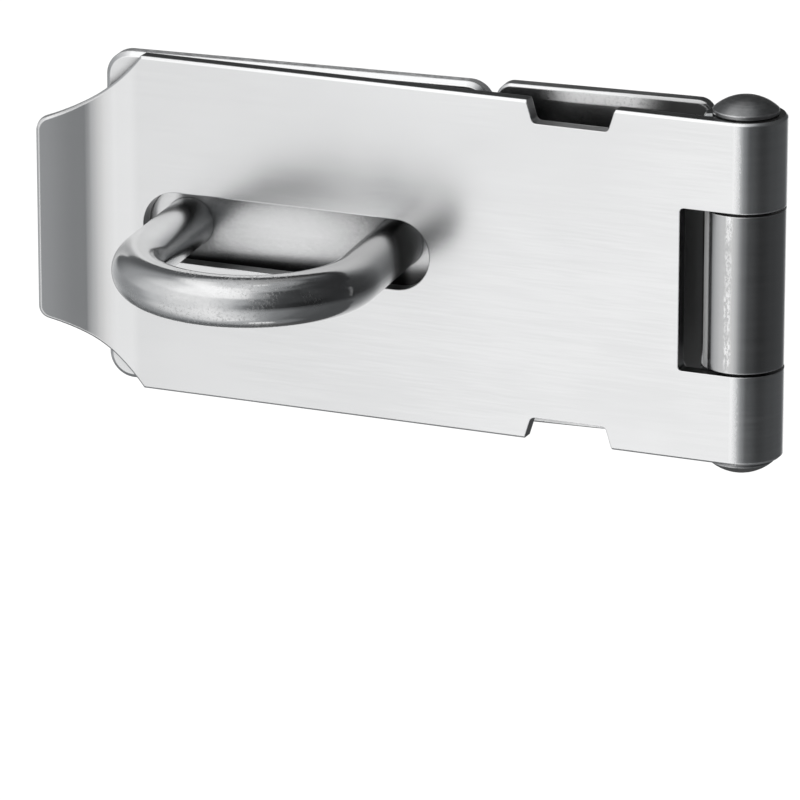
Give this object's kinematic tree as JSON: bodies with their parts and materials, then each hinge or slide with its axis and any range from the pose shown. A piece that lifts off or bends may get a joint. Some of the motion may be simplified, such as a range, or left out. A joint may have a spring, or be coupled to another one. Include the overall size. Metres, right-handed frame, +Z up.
{
  "type": "padlock hasp",
  "caption": "Stainless steel security hasp: a slotted swing leaf on a pinned hinge closes over a bent round staple and hides the countersunk screws of both plates.",
  "frame": {"origin": "middle of the hinge leaf's four screw holes, on the back face that lies on the mounting surface", "axes": "+X along the hasp from the staple towards the hinge pin, +Y into the mounting surface, +Z up along the hinge pin; the front and the staple point along -Y"},
  "size_m": [0.0989, 0.0357, 0.0486],
  "materials": {
    "leaf_steel": "satin, brushed along the leaf, with a polished edge",
    "plate_steel": "satin with softened bright edges",
    "pin_steel": "dull, slightly darker domed heads",
    "bar_steel": "half-polished round bar"
  },
  "bodies": {
    "mounted_plates": {"hinge_leaf": "plate_steel", "hinge_pin": "pin_steel", "staple_plate": "plate_steel", "staple": "bar_steel"},
    "leaf": {"swing_leaf": "leaf_steel"}
  },
  "joints": [
    {"name": "leaf_swing", "type": "hinge", "parent": "mounted_plates", "child": "leaf", "pos_m": [0.01935, -0.0055, 0], "axis": [0, 0, 1], "range_deg": [0, 180]}
  ]
}
